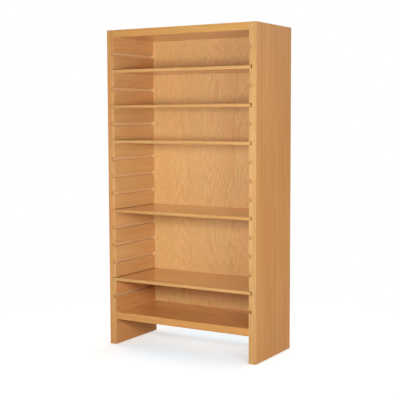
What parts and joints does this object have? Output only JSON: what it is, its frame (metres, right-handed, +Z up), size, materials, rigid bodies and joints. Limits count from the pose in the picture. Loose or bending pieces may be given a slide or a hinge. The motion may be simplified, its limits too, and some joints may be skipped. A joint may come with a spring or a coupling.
{
  "type": "library bookcase",
  "caption": "Tall single-sided wooden library bookcase with grooved sides, a closed back and loose shelves that slide into the grooves.",
  "frame": {"origin": "middle of the footprint, on the floor", "axes": "+X to the right along the front, +Y from the open front to the back panel, +Z up"},
  "size_m": [0.95, 0.42, 1.8],
  "materials": {
    "side_veneer": "satin lacquered veneer, vertical grain",
    "strip_veneer": "satin lacquered veneer, grain from front to back",
    "panel_veneer": "satin lacquered veneer, grain along the length",
    "shelf_veneer": "satin lacquered veneer, grain along the length",
    "back_veneer": "satin lacquered veneer, vertical grain",
    "lipping": "satin lacquered solid wood",
    "shelf_lipping": "satin lacquered solid wood",
    "dowel_wood": "raw beech",
    "staple_metal": "galvanised flat wire",
    "pin_metal": "bright steel",
    "glide_plastic": "matte"
  },
  "bodies": {
    "case": {"right_outer_board": "side_veneer", "right_board_lipping": "lipping", "right_strip_01": "strip_veneer", "right_strip_02": "strip_veneer", "right_strip_03": "strip_veneer", "right_strip_04": "strip_veneer", "right_strip_05": "strip_veneer", "right_strip_06": "strip_veneer", "right_strip_07": "strip_veneer", "right_strip_08": "strip_veneer", "right_strip_09": "strip_veneer", "right_strip_10": "strip_veneer", "right_strip_11": "strip_veneer", "right_strip_12": "strip_veneer", "right_strip_13": "strip_veneer", "right_strip_14": "strip_veneer", "right_strip_15": "strip_veneer", "right_strip_16": "strip_veneer", "right_strip_lippings": "lipping", "left_outer_board": "side_veneer", "left_board_lipping": "lipping", "left_strip_01": "strip_veneer", "left_strip_02": "strip_veneer", "left_strip_03": "strip_veneer", "left_strip_04": "strip_veneer", "left_strip_05": "strip_veneer", "left_strip_06": "strip_veneer", "left_strip_07": "strip_veneer", "left_strip_08": "strip_veneer", "left_strip_09": "strip_veneer", "left_strip_10": "strip_veneer", "left_strip_11": "strip_veneer", "left_strip_12": "strip_veneer", "left_strip_13": "strip_veneer", "left_strip_14": "strip_veneer", "left_strip_15": "strip_veneer", "left_strip_16": "strip_veneer", "left_strip_lippings": "lipping", "top_panel": "panel_veneer", "top_lipping": "lipping", "bottom_panel": "panel_veneer", "bottom_lipping": "lipping", "back_panel": "back_veneer", "dowels": "dowel_wood", "back_staples": "staple_metal", "glides": "glide_plastic", "glide_pins": "pin_metal"},
    "shelf_1": {"shelf_1": "shelf_veneer", "shelf_1_lipping": "shelf_lipping"},
    "shelf_2": {"shelf_2": "shelf_veneer", "shelf_2_lipping": "shelf_lipping"},
    "shelf_3": {"shelf_3": "shelf_veneer", "shelf_3_lipping": "shelf_lipping"},
    "shelf_4": {"shelf_4": "shelf_veneer", "shelf_4_lipping": "shelf_lipping"},
    "shelf_5": {"shelf_5": "shelf_veneer", "shelf_5_lipping": "shelf_lipping"}
  },
  "joints": [
    {"name": "shelf_1_slide", "type": "slide", "parent": "case", "child": "shelf_1", "axis": [0, -1, 0], "range_m": [0, 0.42]},
    {"name": "shelf_2_slide", "type": "slide", "parent": "case", "child": "shelf_2", "axis": [0, -1, 0], "range_m": [0, 0.42]},
    {"name": "shelf_3_slide", "type": "slide", "parent": "case", "child": "shelf_3", "axis": [0, -1, 0], "range_m": [0, 0.42]},
    {"name": "shelf_4_slide", "type": "slide", "parent": "case", "child": "shelf_4", "axis": [0, -1, 0], "range_m": [0, 0.42]},
    {"name": "shelf_5_slide", "type": "slide", "parent": "case", "child": "shelf_5", "axis": [0, -1, 0], "range_m": [0, 0.42]}
  ]
}
